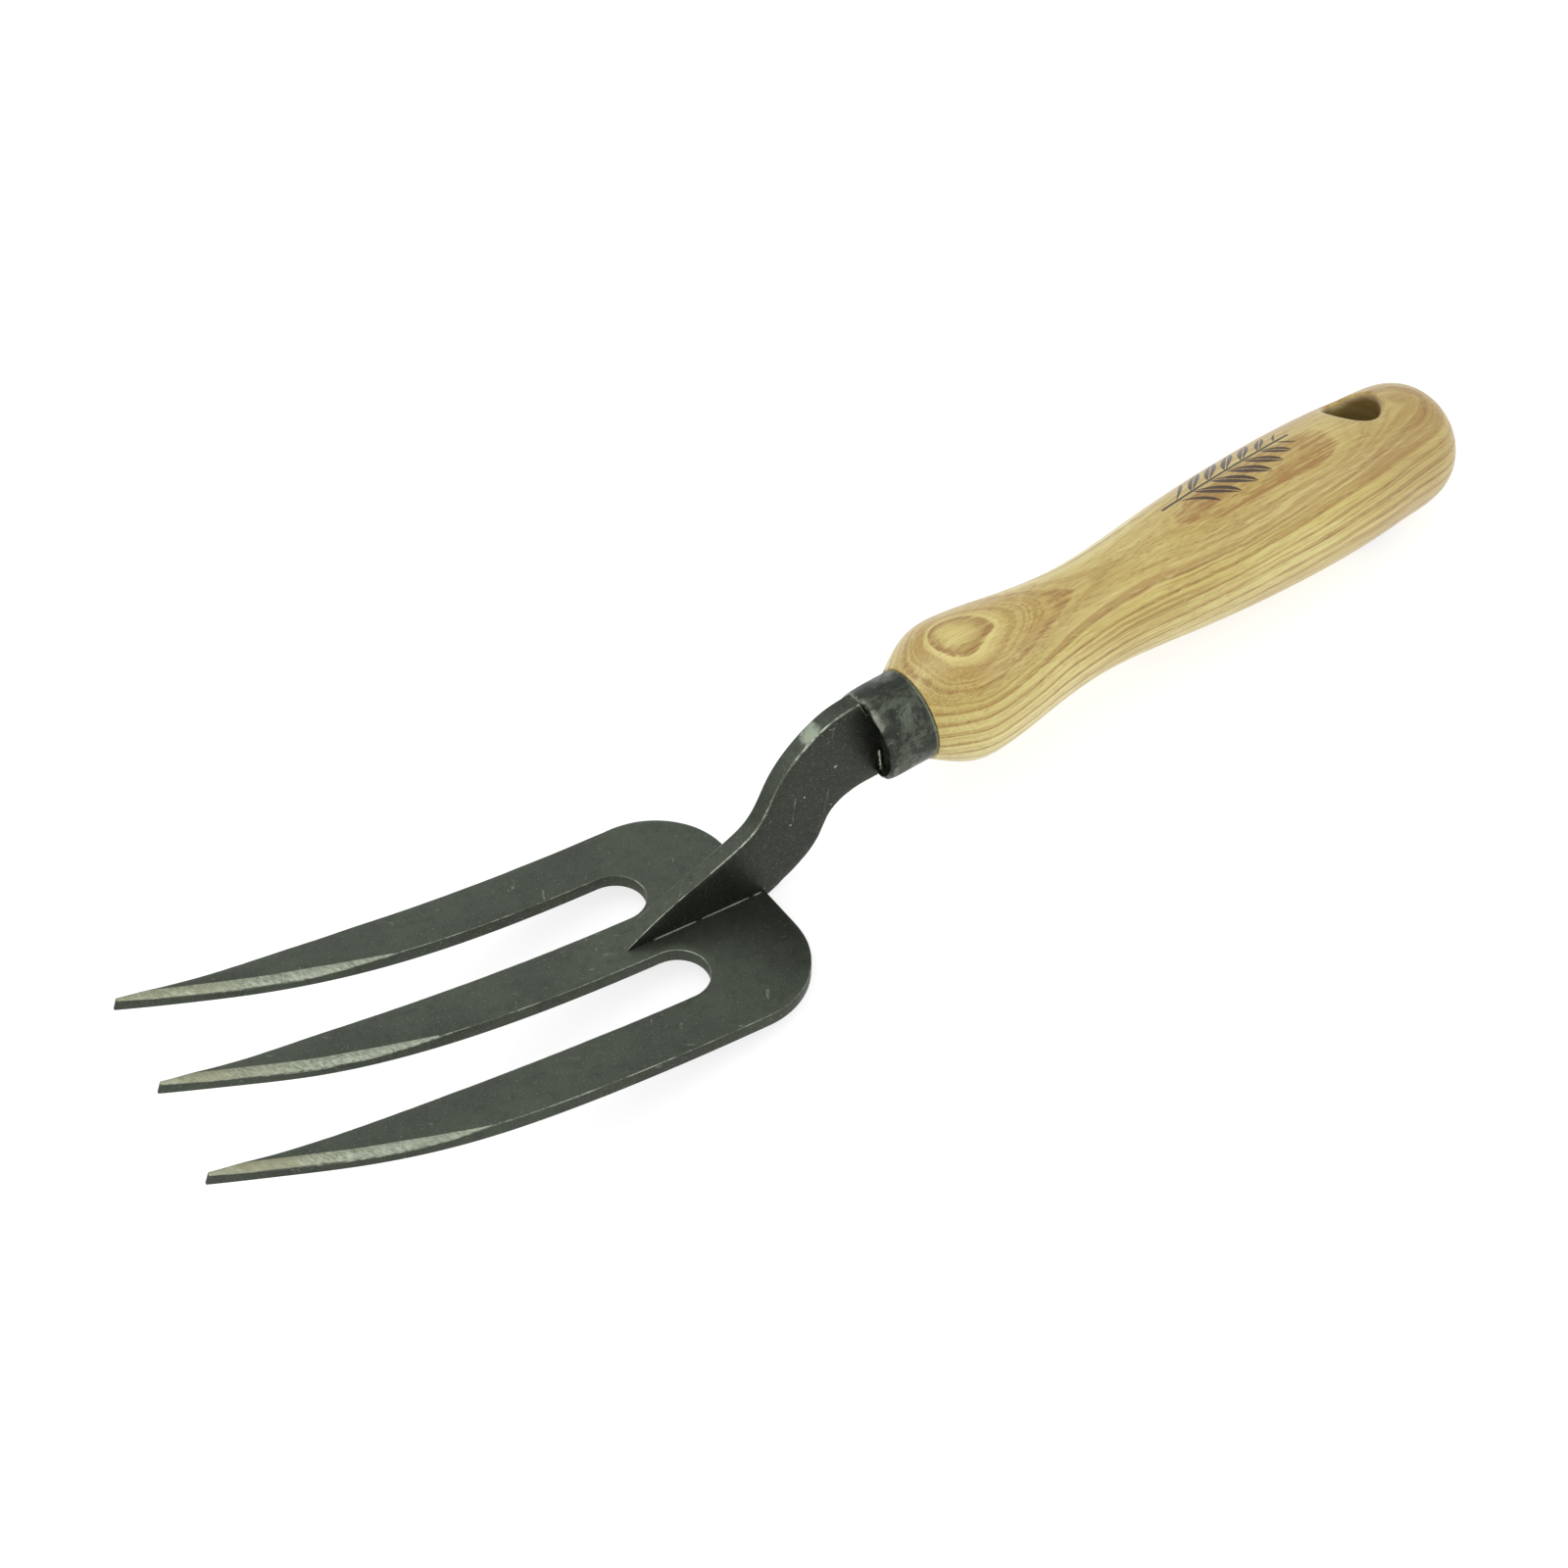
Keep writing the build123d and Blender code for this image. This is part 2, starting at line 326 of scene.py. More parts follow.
class Nodes:
    """Short names for building one material's nodes."""

    def __init__(self, name):
        self.material = bpy.data.materials.new(name)
        self.material.use_nodes = True
        self.tree = self.material.node_tree
        self.shader = self.tree.nodes["Principled BSDF"]
        self.coords = self.tree.nodes.new("ShaderNodeTexCoord").outputs["Object"]

    def put(self, socket, value):
        if isinstance(value, bpy.types.NodeSocket):
            self.tree.links.new(value, socket)
        elif value is not None:
            socket.default_value = value

    def node(self, kind, output=0, props=(), **inputs):
        n = self.tree.nodes.new("ShaderNode" + kind)
        for key, value in dict(props).items():
            setattr(n, key, value)
        for key, value in inputs.items():
            self.put(n.inputs[int(key[1:])] if key[0] == "i" and key[1:].isdigit() else n.inputs[key], value)
        return n.outputs[output]

    def math(self, op, a, b=None, c=None, clamp=False):
        return self.node("Math", props={"operation": op, "use_clamp": clamp}, i0=a, i1=b, i2=c)

    def vector(self, op, a, b=None, output=0):
        return self.node("VectorMath", output, {"operation": op}, i0=a, i1=b)

    def turned(self, turn=(0, 0, 0), scale=(1, 1, 1), source=None):
        """The row frame's coordinates, turned and then stretched."""
        point = {"vector_type": "POINT"}
        spun = self.node("Mapping", props=point, Vector=source or self.coords, Rotation=turn)
        return self.node("Mapping", props=point, Vector=spun, Scale=scale)

    def noise(self, where, scale, detail=3.0, roughness=0.55, distortion=0.0):
        return self.node("TexNoise", Vector=where, Scale=scale, Detail=detail, Roughness=roughness,
                         Distortion=distortion)

    def ramp(self, value, low, high, out_low=0.0, out_high=1.0):
        """out_low up to low, out_high from high on, and a smooth step between them."""
        smooth = {"clamp": True, "interpolation_type": "SMOOTHSTEP"}
        return self.node("MapRange", props=smooth, i0=value, i1=low, i2=high, i3=out_low, i4=out_high)

    def mix(self, share, a, b):
        n = self.tree.nodes.new("ShaderNodeMix")
        n.data_type = "RGBA"
        self.put(n.inputs[0], share)
        self.put(n.inputs[6], a)
        self.put(n.inputs[7], b)
        return n.outputs[2]

    def bump(self, height, strength, distance, below=None):
        return self.node("Bump", i0=strength, i1=distance, Height=height, Normal=below)

    def set(self, **values):
        for key, value in values.items():
            self.put(self.shader.inputs[key.replace("_", " ")], value)
        return self.material


def rgb(*levels):
    """A colour given as sRGB bytes."""
    return tuple(((v / 255 + 0.055) / 1.055) ** 2.4 if v > 10 else v / 255 / 12.92 for v in levels) + (1.0,)


def scratches(n, turn, scale, length, low, high, coarse=90.0):
    """Fine streaks across one direction, 1 on a scratch, broken up by a coarser noise."""
    where = n.turned(turn, (1.0 / length, 1.0, 1.0))
    lines = n.noise(where, scale, 2.0, 0.6)
    some = n.ramp(n.noise(n.turned((0.4, 0.2, 1.1)), coarse, 2.0), 0.42, 0.62)
    return n.math("MULTIPLY", n.ramp(lines, low, high), some)


# ---------------------------------------------------------------- materials

# Directions of the handle in the row frame
AXIS = (along_handle(100.0) - along_handle(0.0)).normalized()
UP = (along_handle(0.0, math.cos(HANDLE_TURN), math.sin(HANDLE_TURN)) - along_handle(0.0)).normalized()
SIDE = UP.cross(AXIS)


def dark_steel(name, base=(69, 75, 66), light=(83, 90, 79), streak=0.35, rough_value=0.46, polish=None,
               upright=0.0):
    """Oiled oxide on rolled steel: mottled, flecked and finely scratched. polish is the middle and the
    radius, in metres, of a rubbed patch, and upright is the strength of scratches up and down."""
    n = Nodes(name)
    broad = n.noise(n.coords, 38.0, 4.0, 0.6)
    fine = n.noise(n.coords, 420.0, 4.0, 0.65)
    grit = n.noise(n.coords, 2600.0, 2.0, 0.6)
    colour = n.mix(n.ramp(broad, 0.3, 0.75), rgb(*base), rgb(*light))
    colour = n.mix(n.ramp(fine, 0.45, 0.75, 0.0, 0.4), colour, rgb(*[v * 0.74 for v in base]))
    flecks = n.ramp(grit, 0.63, 0.71)
    colour = n.mix(n.math("MULTIPLY", flecks, 0.4), colour, rgb(150, 156, 142))
    cells = n.node("TexVoronoi", props={"feature": "F1"}, Vector=n.coords, Scale=1500.0)
    pits = n.math("MULTIPLY", n.ramp(cells, 0.08, 0.22, 1.0, 0.0), n.ramp(fine, 0.48, 0.60))
    colour = n.mix(n.math("MULTIPLY", pits, 0.4), colour, rgb(30, 32, 28))
    dust = n.ramp(n.noise(n.coords, 5200.0, 2.0, 0.7), 0.55, 0.72, 0.0, 0.45)
    colour = n.mix(dust, colour, rgb(118, 124, 112))
    one = scratches(n, (0, 0, 0.5), 700.0, 26.0, 0.69, 0.74)
    two = scratches(n, (0.5, 0.9, -0.8), 620.0, 22.0, 0.70, 0.75, 70.0)
    marks = n.math("MAXIMUM", one, two)
    colour = n.mix(n.math("MULTIPLY", marks, streak), colour, rgb(165, 170, 156))
    if upright:
        scores = scratches(n, (0.2, 1.25, 0.1), 520.0, 16.0, 0.62, 0.66, 60.0)
        colour = n.mix(n.math("MULTIPLY", scores, upright), colour, rgb(128, 134, 118))
    if polish:
        spot, size = polish
        away = n.vector("LENGTH", n.vector("SUBTRACT", n.coords, tuple(spot)), output=1)
        away = n.math("ADD", away, n.math("MULTIPLY", n.math("SUBTRACT", fine, 0.5), size * 1.6))
        colour = n.mix(n.ramp(away, size * 0.35, size, 0.75, 0.0), colour, rgb(150, 160, 142))
    hollows = n.math("MULTIPLY", n.math("ADD", marks, pits), 0.4)
    height = n.math("SUBTRACT", n.math("MULTIPLY", fine, 0.5), hollows)
    roughness = n.math("ADD", n.ramp(broad, 0.3, 0.7, rough_value - 0.06, rough_value + 0.08),
                       n.math("MULTIPLY", marks, -0.12))
    return n.set(Base_Color=colour, Metallic=0.85, Roughness=roughness, Normal=n.bump(height, 0.35, 0.00006))


def bare_edge_and_highlight():
    """Bright steel that comes and goes along the edges: partly where the oxide is rubbed off, partly painted
    highlight.
    """
    n = Nodes("bare_edge_and_highlight")
    come = n.noise(n.coords, 95.0, 4.0, 0.7)
    nick = n.noise(n.coords, 900.0, 3.0, 0.7)
    bare_and_highlight = n.math("MULTIPLY", n.ramp(come, 0.42, 0.60, 0.2, 1.0), n.ramp(nick, 0.38, 0.54, 0.25, 1.0))
    colour = n.mix(bare_and_highlight, rgb(74, 79, 69), rgb(158, 164, 148))
    roughness = n.math("SUBTRACT", 0.46, n.math("MULTIPLY", bare_and_highlight, 0.12))
    return n.set(Base_Color=colour, Metallic=0.9, Roughness=roughness, Normal=n.bump(nick, 0.5, 0.00005))


def ground_steel():
    """The grindstone's face: bright, with coarse parallel marks across the tine."""
    n = Nodes("ground_steel")
    grinding = (0, 0, -0.75)
    marks = n.noise(n.turned(grinding, (1.0, 0.12, 0.4)), 3200.0, 3.0, 0.75)
    deep = n.noise(n.turned(grinding, (1.0, 0.16, 0.4)), 1300.0, 2.0, 0.6)
    patch = n.noise(n.coords, 110.0, 4.0, 0.65)
    grit = n.noise(n.coords, 4200.0, 2.0, 0.7)
    colour = n.mix(n.ramp(marks, 0.34, 0.68), rgb(114, 122, 105), rgb(172, 181, 162))
    colour = n.mix(n.ramp(deep, 0.56, 0.72, 0.0, 0.45), colour, rgb(104, 111, 96))
    colour = n.mix(n.ramp(patch, 0.40, 0.66, 0.0, 0.5), colour, rgb(146, 155, 138))
    colour = n.mix(n.ramp(grit, 0.60, 0.72, 0.0, 0.5), colour, rgb(196, 203, 184))
    tip = n.ramp(n.node("SeparateXYZ", Vector=n.coords), -0.147, -0.128, 0.6, 0.0)
    colour = n.mix(n.math("MULTIPLY", tip, n.ramp(patch, 0.35, 0.6, 0.5, 1.0)), colour, rgb(140, 133, 104))
    return n.set(Base_Color=colour, Metallic=0.85, Roughness=n.ramp(deep, 0.3, 0.7, 0.36, 0.5),
                 Normal=n.bump(n.math("ADD", marks, deep), 0.4, 0.00004))


def burnished_steel():
    """The ferrule: hammered dark blue-grey with lighter rubbed clouds."""
    n = Nodes("burnished_steel")
    cloud = n.noise(n.coords, 150.0, 5.0, 0.68, 0.6)
    fine = n.noise(n.coords, 700.0, 4.0, 0.7)
    colour = n.mix(n.ramp(cloud, 0.40, 0.62), rgb(53, 57, 51), rgb(88, 94, 82))
    colour = n.mix(n.ramp(fine, 0.46, 0.64, 0.0, 0.7), colour, rgb(40, 44, 39))
    flecks = n.ramp(n.noise(n.coords, 1500.0, 3.0, 0.7), 0.62, 0.74)
    colour = n.mix(n.math("MULTIPLY", flecks, 0.6), colour, rgb(150, 157, 148))
    from_front = n.vector("SUBTRACT", n.coords, tuple(along_handle(0.0)))
    along = n.vector("DOT_PRODUCT", from_front, tuple(AXIS), output=1)
    # Lighter band at the front lip, lighter nicks there plus painted highlight, and a thin pale line round
    # the rear edge.
    rim = n.math("MULTIPLY", n.ramp(along, 0.0006, 0.0018, 1.0, 0.0), n.ramp(cloud, 0.46, 0.60))
    tail = n.math("MULTIPLY", n.ramp(along, 0.0106, 0.0112), n.ramp(fine, 0.35, 0.55, 0.2, 0.8))
    colour = n.mix(n.math("MULTIPLY", n.math("MAXIMUM", rim, tail), 0.7), colour, rgb(150, 152, 136))
    height = n.math("ADD", cloud, n.math("MULTIPLY", fine, 0.35))
    return n.set(Base_Color=colour, Metallic=0.85, Roughness=n.ramp(cloud, 0.35, 0.7, 0.5, 0.34),
                 Normal=n.bump(height, 0.5, 0.00025))


def weld_steel(name, crest, low, high):
    n = Nodes(name)
    lumps = n.noise(n.coords, 900.0, 4.0, 0.7)
    colour = n.mix(n.ramp(lumps, low, high), rgb(58, 62, 54), rgb(*crest))
    return n.set(Base_Color=colour, Metallic=0.85, Roughness=n.ramp(lumps, 0.4, 0.7, 0.52, 0.3),
                 Normal=n.bump(lumps, 0.6, 0.0001))


MOTIF_CENTRE = 100.0  # mm from the ferrule's front, as is HOLE_STATION
HOLE_STATION = 137.0
LAYERS = Vector((0.02, -0.087, 0.996))  # square to the growth layers
RINGS_PER_MM = 0.34
RING_SHIFT = 0.14  # puts a ring's edge round the top of the handle's swell
BORE = (6.05, 6.9)  # mm from the hanging hole's axis: all dark (painted shade inside the hole, and darker raw end grain), and clear again


def ash_wood(name):
    """Flat-sawn ash under clear lacquer: porous early bands between cream late ones, with a burned sprig."""
    n = Nodes(name)
    origin = along_handle(0.0)
    local = n.vector("SUBTRACT", n.coords, tuple(origin))

    def measure(direction):
        return n.math("MULTIPLY", n.vector("DOT_PRODUCT", local, tuple(direction), output=1), 1000.0)

    x, y, z = measure(AXIS), measure(SIDE), measure(UP)
    place = n.node("CombineXYZ", i0=x, i1=y, i2=z)
    bend = n.noise(n.turned(scale=(0.016, 0.06, 0.06), source=place), 1.0, 2.0, 0.5)
    wander = n.noise(n.turned(scale=(0.05, 0.10, 0.10), source=place), 1.0, 3.0, 0.55)
    fibre = n.noise(n.turned(scale=(0.12, 2.6, 2.6), source=place), 1.0, 4.0, 0.65)
    long_fibre = n.noise(n.turned(scale=(0.03, 1.1, 1.1), source=place), 1.0, 3.0, 0.6)
    layer = measure(LAYERS)
    for wave, size in ((bend, 3.4), (wander, 1.2), (fibre, 0.13)):
        layer = n.math("ADD", layer, n.math("MULTIPLY", wave, size))
    pace = n.noise(n.node("CombineXYZ", i0=n.math("MULTIPLY", layer, 0.16), i1=0.0, i2=0.0), 1.0, 1.0)
    rings = n.math("ADD", n.math("MULTIPLY", layer, RINGS_PER_MM), n.math("MULTIPLY", pace, 1.3))
    rings = n.math("ADD", rings, RING_SHIFT)
    turn = n.math("FRACT", rings)
    early = n.math("MULTIPLY", n.ramp(turn, 0.0, 0.10), n.ramp(turn, 0.08, 0.42, 1.0, 0.0))
    ridge = n.math("MULTIPLY", n.ramp(layer, 9.4, 11.6), n.ramp(layer, 15.0, 15.7, 1.0, 0.0))
    early = n.math("MAXIMUM", early, n.math("MULTIPLY", ridge, 0.55))
    beat = n.node("CombineXYZ", i0=n.math("MULTIPLY", layer, 1.25), i1=n.math("MULTIPLY", x, 0.012), i2=0.0)
    thin = n.ramp(n.noise(beat, 1.0, 3.0, 0.7), 0.46, 0.60)
    start = n.math("MULTIPLY", n.ramp(turn, 0.0, 0.04), n.ramp(turn, 0.07, 0.20, 1.0, 0.0))
    tone = n.noise(n.node("CombineXYZ", i0=n.math("FLOOR", rings), i1=0.0, i2=0.0), 1.7, 0.0)
    warm = n.noise(n.turned(scale=(0.02, 0.07, 0.07), source=place), 1.0, 3.0, 0.5)
    late_colour = n.mix(n.ramp(warm, 0.35, 0.65), rgb(211, 199, 129), rgb(195, 177, 103))
    early_colour = n.mix(n.ramp(tone, 0.35, 0.65), rgb(154, 121, 58), rgb(168, 137, 70))
    early_share = n.math("MULTIPLY", early, n.ramp(long_fibre, 0.3, 0.6, 0.45, 0.9))
    colour = n.mix(early_share, late_colour, early_colour)
    start_share = n.math("MULTIPLY", start, n.ramp(long_fibre, 0.35, 0.6, 0.25, 0.8))
    colour = n.mix(start_share, colour, rgb(142, 100, 44))
    colour = n.mix(n.math("MULTIPLY", thin, n.ramp(warm, 0.35, 0.6, 0.35, 0.9)), colour, rgb(163, 132, 66))
    colour = n.mix(n.ramp(fibre, 0.50, 0.72, 0.0, 0.55), colour, rgb(147, 114, 54))
    colour = n.mix(n.ramp(fibre, 0.28, 0.46, 0.45, 0.0), colour, rgb(217, 208, 144))
    # Darker towards the butt end: painted shade.
    painted_butt_shade = n.ramp(n.math("ADD", x, n.math("MULTIPLY", wander, 30.0)), 132.0, 160.0, 0.0, 0.4)
    colour = n.mix(painted_butt_shade, colour, rgb(142, 108, 52))
    cells = n.turned(scale=(0.24, 2.4, 2.4), source=place)
    pore = n.node("TexVoronoi", props={"feature": "F1"}, Vector=cells, Scale=1.0)
    pores = n.math("MULTIPLY", n.ramp(pore, 0.12, 0.34, 1.0, 0.0), n.ramp(early, 0.25, 0.7, 0.16, 1.0))
    colour = n.mix(n.math("MULTIPLY", pores, 0.7), colour, rgb(118, 84, 42))
    # Darker inside the hanging hole: painted shade in the hole, with darker raw end grain.
    bore = n.vector("LENGTH", n.node("CombineXYZ", i0=n.math("SUBTRACT", x, HOLE_STATION), i1=y), output=1)
    bore_shade_and_end_grain = n.math("MULTIPLY", n.ramp(bore, *BORE, 1.0, 0.0), n.ramp(wander, 0.3, 0.6, 0.75, 1.0))
    colour = n.mix(n.math("MULTIPLY", bore_shade_and_end_grain, 0.85), colour, rgb(104, 84, 46))
    height = n.math("ADD", n.math("MULTIPLY", fibre, 0.4), n.math("MULTIPLY", pores, -0.8))
    normal = n.bump(height, 0.25, 0.00008)
    roughness = n.ramp(fibre, 0.3, 0.7, 0.36, 0.5)
    burn = sprig(n, n.math("SUBTRACT", x, MOTIF_CENTRE), y, z)
    blot = n.noise(n.coords, 1400.0, 3.0, 0.6)
    dark = n.mix(n.ramp(blot, 0.35, 0.7), rgb(40, 28, 14), rgb(74, 52, 26))
    colour = n.mix(n.math("MULTIPLY", burn, n.ramp(blot, 0.25, 0.5, 0.8, 1.0)), colour, dark)
    normal = n.bump(n.math("MULTIPLY", burn, -1.0), 0.7, 0.00018, normal)
    return n.set(Base_Color=colour, Roughness=roughness, Normal=normal, Coat_Weight=0.35, Coat_Roughness=0.22,
                 Coat_IOR=1.45, Specular_IOR_Level=0.45)


def sprig(n, u, v, w):
    """A burned sprig: a stem with pairs of pointed leaves, smaller towards both ends.
    u runs along the stem, v across it, and w is positive on the handle's upper side."""
    half, pitch, reach, fullness = 18.0, 4.8, 7.6, 1.75
    side = n.math("ABSOLUTE", v)
    share = n.math("POWER", n.math("DIVIDE", u, half + 2.0), 2.0)
    fade = n.math("SQRT", n.math("MAXIMUM", n.math("SUBTRACT", 1.0, share), 0.02))
    lean = n.math("SUBTRACT", u, side)
    nearest = n.math("MULTIPLY", n.math("ROUND", n.math("DIVIDE", lean, pitch)), pitch)
    off = n.math("ABSOLUTE", n.math("SUBTRACT", lean, nearest))
    along = n.math("DIVIDE", side, n.math("MULTIPLY", fade, reach))
    belly = n.math("MULTIPLY", n.math("MULTIPLY", along, n.math("SUBTRACT", 1.0, along)), 4.0)
    width = n.math("MULTIPLY", n.math("MULTIPLY", belly, fade), fullness)
    blade = n.ramp(n.math("SUBTRACT", off, width), -0.08, 0.08, 1.0, 0.0)
    beside_vein = n.ramp(off, 0.12, 0.26)
    in_reach = n.ramp(along, 0.99, 1.0, 1.0, 0.0)
    in_length = n.ramp(n.math("ABSOLUTE", lean), half - 4.0, half - 3.8, 1.0, 0.0)
    inner = n.math("MULTIPLY", in_length, in_reach)
    leaves = n.math("MULTIPLY", n.math("MULTIPLY", blade, beside_vein), inner)
    stem = n.math("MULTIPLY", n.ramp(side, 0.3, 0.44, 1.0, 0.0),
                  n.ramp(n.math("ABSOLUTE", u), half, half + 0.4, 1.0, 0.0))
    return n.math("MULTIPLY", n.math("MAXIMUM", leaves, stem), n.ramp(w, 0.0, 1.0))


STEEL = dark_steel("oxide_steel")
# The plate's cut sides get a darker copy of its steel: painted shade on the sides.
STEEL_SIDE_SHADED = dark_steel("oxide_steel_side_painted_shade", (56, 61, 53), (74, 80, 70), 0.25, 0.5)
EDGE = bare_edge_and_highlight()
GROUND = ground_steel()
# The neck bar's broad faces get a darker copy of its steel than its narrow edges: painted shade, with the
# bar's scratches and up-and-down scores on top.
NECK_SHADED_FACES = dark_steel("neck_steel_painted_shade", (45, 48, 41), (57, 60, 52), 0.95, 0.44, upright=0.7)
RUBBED_PATCH = (lay(135.8, -0.4, 36.1), 0.003)
NECK_EDGE = dark_steel("neck_edge_steel", (60, 65, 57), (77, 83, 73), 0.5, 0.5, RUBBED_PATCH)
FERRULE = burnished_steel()
WELDS = {"plate": weld_steel("plate_weld_steel", (124, 131, 118), 0.26, 0.5),
         "ferrule": weld_steel("ferrule_weld_steel", (190, 192, 170), 0.38, 0.6)}


# ---------------------------------------------------------------- fork head


def top_height(x):
    return TIP_RISE * max((PLATE_REAR - x) / PLATE_REAR, 0.0) ** RISE_POWER


def on_head(x, y, depth):
    """A point of the bent sheet: x along its top, y across, depth square to it."""
    slope = -TIP_RISE * RISE_POWER / PLATE_REAR * max((PLATE_REAR - x) / PLATE_REAR, 0.0) ** (RISE_POWER - 1)
    size = math.hypot(slope, 1.0)
    return lay(x + depth * slope / size, y, top_height(x) - depth / size)


def from_tip(points):
    """An edge of a tine, cut square where the sheet ends."""
    xs, ys = [p[0] for p in points], [p[1] for p in points]
    return [(0.0, float(np.interp(0.0, xs, ys)))] + [p for p in points if p[0] > 0.4]


def tine_edges():
    outer = [(x, TINE_PITCH + h) for x, h in zip(STATIONS, OUTER_HALF)]
    outer.append((PLATE_REAR - SHOULDER_RADIUS, PLATE_HALF))
    inner = [(x, TINE_PITCH - h) for x, h in zip(STATIONS, INNER_HALF)]
    centre = list(zip(STATIONS, CENTRE_HALF))
    return [from_tip(spline(points, 1.1)) for points in (outer, inner, centre)]


OUTER, INNER, CENTRE = tine_edges()
FLIP = [[(x, -y) for x, y in run] for run in (OUTER, INNER, CENTRE)]
RIGHT_EDGES = (FLIP[0], FLIP[2], INNER)  # the -Y edge of each tine
LEFT_EDGES = (FLIP[1], CENTRE, OUTER)
GRIND_REACH = (0.945, 1.0, 1.03)  # hand grinding: the bevels aren't quite the same length


def head_outline():
    corner = (PLATE_REAR - SHOULDER_RADIUS, PLATE_HALF - SHOULDER_RADIUS)
    slot = arc((SLOT_END, SLOT_Y), SLOT_RADIUS, 90, -90, 20)
    shoulder = arc(corner, SHOULDER_RADIUS, 90, 0, 22)
    upper = [OUTER, shoulder]
    lower = [[(x, -y) for x, y in run[::-1]] for run in (OUTER, shoulder)]
    rear = straight((PLATE_REAR, corner[1]), (PLATE_REAR, -corner[1]), 1.2)
    return loop_of(upper + [rear, lower[1], lower[0]]
                   + [FLIP[1], [(x, -y) for x, y in slot], FLIP[2][::-1]]
                   + [CENTRE, slot[::-1], INNER[::-1]])


def edge_at(run, x):
    return float(np.interp(x, [p[0] for p in run], [p[1] for p in run]))


def bevel_depth(x):
    return float(np.interp(x, [b[0] for b in BEVEL], [b[1] for b in BEVEL]))


def ground_off(x, y):
    """How deep the grindstone went at a point of the head."""
    for right, left, reach in zip(RIGHT_EDGES, LEFT_EDGES, GRIND_REACH):
        low, high = edge_at(right, x), edge_at(left, x)
        if x < BEVEL[-1][0] * reach and low - 0.5 < y < high + 0.5:
            wobble = 0.05 * rough(x, low, 0.0, 6.0, 3.1)
            return max(0.0, bevel_depth(x / reach) + wobble - (y - low) * BEVEL_SLOPE)
    return 0.0


def head_wear(x, y):
    size = 0.13 + 0.10 * rough(x, y, 0.0, 7.0) + 0.07 * rough(x, y, 0.0, 1.9, 5.0)
    return max(0.06, size) * min(1.0, 0.35 + x / 30.0)


def bevel_crease(right, reach):
    """Where the ground part of a tine meets the rest of its face."""
    xs = np.arange(0.6, BEVEL[-1][0] * reach - 0.5, 1.1)
    return [(float(x), edge_at(right, x) + bevel_depth(x / reach) / BEVEL_SLOPE) for x in xs]


fork_head = slab("fork_plate", head_outline(), on_head, SHEET, head_wear, (STEEL, EDGE, GROUND, STEEL_SIDE_SHADED),
                 ground_off, [bevel_crease(*tine) for tine in zip(RIGHT_EDGES, GRIND_REACH)])
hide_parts("fork_head")


# ---------------------------------------------------------------- neck bar

NECK_TOP = ((98.0, 4.9), (107.9, 10.0), (117.2, 14.7), (121.4, 17.5), (124.3, 21.6), (126.7, 26.5),
            (130.4, 31.5), (135.1, 35.6), (140.4, 38.6))
NECK_BELOW = ((147.2, 18.1), (143.6, 16.9), (140.2, 14.2), (137.6, 9.0), (134.0, 4.5), (129.7, 1.3),
              (125.3, -1.3))
NECK_END = ((-1.4, 12.1), (0.0, 8.2), (2.8, 8.2), (2.8, 4.5), (62.0, 1.0), (62.0, -1.0), (2.8, -4.5),
            (2.8, -8.2), (3.0, -8.2), (3.0, -9.9))  # along the handle's axis and above it


def neck_outline():
    end = [beside_axis(*p) for p in NECK_END]
    foot = [NECK_BELOW[-1], (124.4, -1.3), (124.4, -0.25), (90.4, -0.25)]
    runs = [spline([(90.8, 0.1)] + list(NECK_TOP) + [end[0]], 1.0)]
    runs += [straight(a, b, 1.2) for a, b in zip(end, end[1:])]
    runs.append(spline([end[-1]] + list(NECK_BELOW), 0.8))
    runs += [straight(a, b, 1.2) for a, b in zip(foot, foot[1:])]
    return loop_of(runs)


def neck_wear(x, z):
    """Wear grows from the foot of the bar to its end, and there is none where it meets the plate."""
    size = 0.13 + min(max((x - 108.0) / 90.0, 0.0), 0.16)
    size += 0.10 * rough(x, z, 0.0, 9.0, 2.0) + 0.08 * rough(x, z, 0.0, 2.2, 7.0)
    return max(0.08, size) if z > 0.3 else 0.08


neck = slab("neck_bar_steel", neck_outline(), lambda x, z, depth: lay(x, depth - BAR / 2, z), BAR, neck_wear,
            (NECK_SHADED_FACES, EDGE, GROUND, NECK_EDGE), spacing=1.8, ease=0.28)
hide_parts("neck_bar")


# ---------------------------------------------------------------- ferrule

FERRULE_PROFILE = ([(0.0, 2.6), (4.0, 2.65), (7.6, 2.5), (8.3, 2.2), (8.5, 1.8), (8.5, 1.2), (8.54, 0.6),
                    (8.66, 0.22), (8.88, 0.04), (9.12, 0.0), (9.36, 0.12), (9.58, 0.4), (9.76, 0.85),
                    (9.88, 1.4), (9.95, 2.1)]
                   + [(9.95 + 0.012 * s, float(s)) for s in np.arange(2.8, 11.0, 0.7)]
                   + [(10.08, 11.2), (10.0, 11.45), (9.8, 11.5), (8.76, 11.5), (8.76, 4.6), (0.0, 4.6)])


FERRULE_RADIUS = 10.1
# How far the rim is pressed back below the bar, and half the width of that notch in radians
HEEL_NOTCH = (1.5, 0.42)


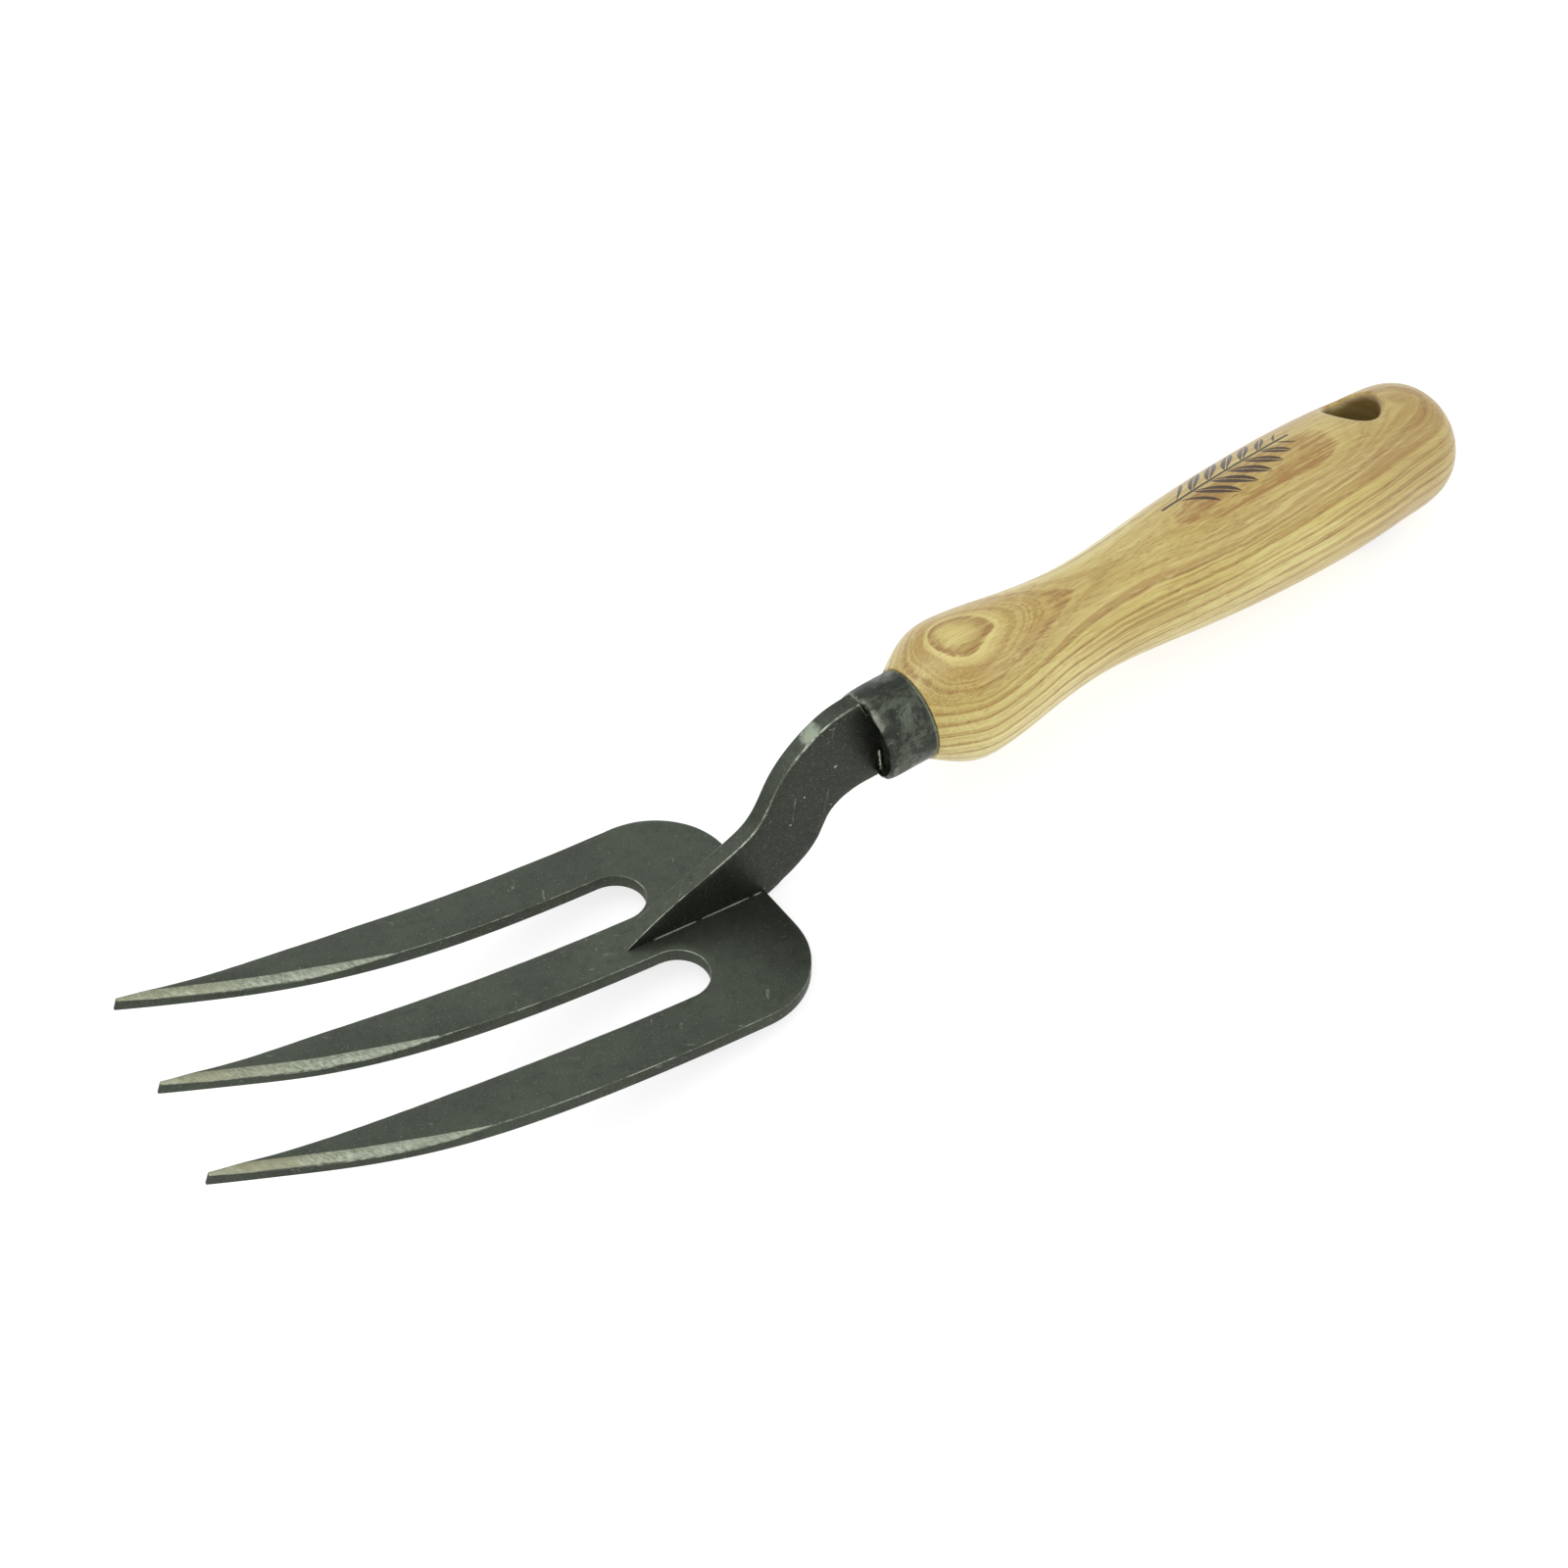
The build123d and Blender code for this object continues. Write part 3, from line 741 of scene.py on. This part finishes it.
def ferrule_dent(r, s, t):
    """Hammer marks on the outside, an uneven rim, and the notch for the bar's heel."""
    x, y = 10 * math.cos(t), 10 * math.sin(t)
    if r > 8.8 and s < 11.3:
        r -= 0.05 + 0.09 * rough(x, y, s, 4.0, 1.0) + 0.04 * rough(x, y, s, 1.5, 4.0)
        r = min(r, FERRULE_RADIUS - 0.01)
    if s < 0.7:
        s += max(0.0, 0.10 + 0.28 * rough(x, y, 0.0, 2.4, 6.0) + 0.14 * rough(x, y, 0.0, 0.9, 8.0))
    if r > 8.4 and s < 2.0:
        deep, wide = HEEL_NOTCH
        s += deep * math.exp(-((t - math.pi) / wide) ** 2) * (1.0 - s / 2.4)
    return r, s


ferrule = lathe("ferrule_cup", FERRULE_PROFILE, 144, ferrule_dent, [FERRULE])
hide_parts("ferrule")


# ---------------------------------------------------------------- welds


STITCHES = ((97.5, 107.9), (108.8, 120.4), (121.3, 123.5))  # from and to, along x
STITCH_RADIUS = 0.24
FERRULE_BEAD = (-9.6, -2.6)  # from and to, above the handle's axis
FERRULE_BEAD_RADIUS = 0.42


def plate_bead(side):
    bm = bmesh.new()
    for k, (start, end) in enumerate(STITCHES):
        xs = np.arange(start, end + 0.01, 0.35)
        path = [(float(x), side * (BAR / 2 + 0.04), top_height(float(x)) + 0.08) for x in xs]
        bead(bm, path, STITCH_RADIUS, 3.0 * k + side)
    return bm


def ferrule_bead(side):
    bm = bmesh.new()
    path = []
    for up in np.arange(*FERRULE_BEAD, 0.2):
        x, z = beside_axis(2.05 + 0.35 * rough(up, side, 0.0, 1.5), float(up))
        path.append((x, side * (BAR / 2 + 0.12), z))
    bead(bm, path, FERRULE_BEAD_RADIUS, 11.0 + side)
    return bm


for side, word in ((-1, "right"), (1, "left")):
    for bm, place in ((plate_bead(side), "plate"), (ferrule_bead(side), "ferrule")):
        weld = finished(f"{place}_bead_{word}", bm, [WELDS[place]], 80.0)
        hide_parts(f"{place}_weld_{word}")


# ---------------------------------------------------------------- handle

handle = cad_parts["handle"]
handle.data.materials.clear()
handle.data.materials.append(ash_wood("ash_lacquered"))


# ---------------------------------------------------------------- floor, light and camera

floor_mesh = bpy.data.meshes.new("floor")
floor_mesh.from_pydata([(-3, -3, 0), (3, -3, 0), (3, 3, 0), (-3, 3, 0)], [], [(0, 1, 2, 3)])
floor = bpy.data.objects.new("floor", floor_mesh)
bpy.context.scene.collection.objects.link(floor)
paper = Nodes("pale_paper")
paper.set(Base_Color=(0.40, 0.40, 0.40, 1.0), Roughness=0.95, Specular_IOR_Level=0.1,
          Emission_Color=(1.0, 1.0, 1.0, 1.0), Emission_Strength=0.73)
floor_mesh.materials.append(paper.material)

world = bpy.data.worlds.new("studio")
world.use_nodes = True
sky = world.node_tree.nodes["Background"]
sky.inputs["Color"].default_value = (1.0, 1.0, 1.0, 1.0)
sky.inputs["Strength"].default_value = 0.93
bpy.context.scene.world = world


def softbox(name, place, power, size):
    """A square light aimed at the middle of the row frame."""
    light = bpy.data.lights.new(name, "AREA")
    light.energy = power
    light.size = size
    obj = bpy.data.objects.new(name, light)
    obj.location = place
    obj.rotation_euler = (-Vector(place)).to_track_quat("-Z", "Y").to_euler()
    bpy.context.scene.collection.objects.link(obj)


softbox("key", (-0.5, 0.3, 1.1), 3.5, 0.9)
softbox("fill", (0.9, -0.8, 0.9), 2.5, 0.9)

# Fitted to the photograph
CAMERA_PLACE = (-0.12886, -0.23664, 0.30773)
CAMERA_RIGHT = Vector((0.81919, -0.55096, -0.15929)).normalized()
CAMERA_BACK = Vector((-0.27343, -0.61933, 0.73598))
FOCAL_LENGTH = 43.805

camera_data = bpy.data.cameras.new("camera")
camera_data.sensor_width = 36.0
camera_data.lens = FOCAL_LENGTH
camera = bpy.data.objects.new("camera", camera_data)
camera_up = CAMERA_BACK.cross(CAMERA_RIGHT).normalized()
turn = Matrix((CAMERA_RIGHT, camera_up, CAMERA_RIGHT.cross(camera_up))).transposed()
camera.matrix_world = Matrix.Translation(CAMERA_PLACE) @ turn.to_4x4()
bpy.context.scene.collection.objects.link(camera)
bpy.context.scene.camera = camera
bpy.context.scene.view_settings.view_transform = "Standard"
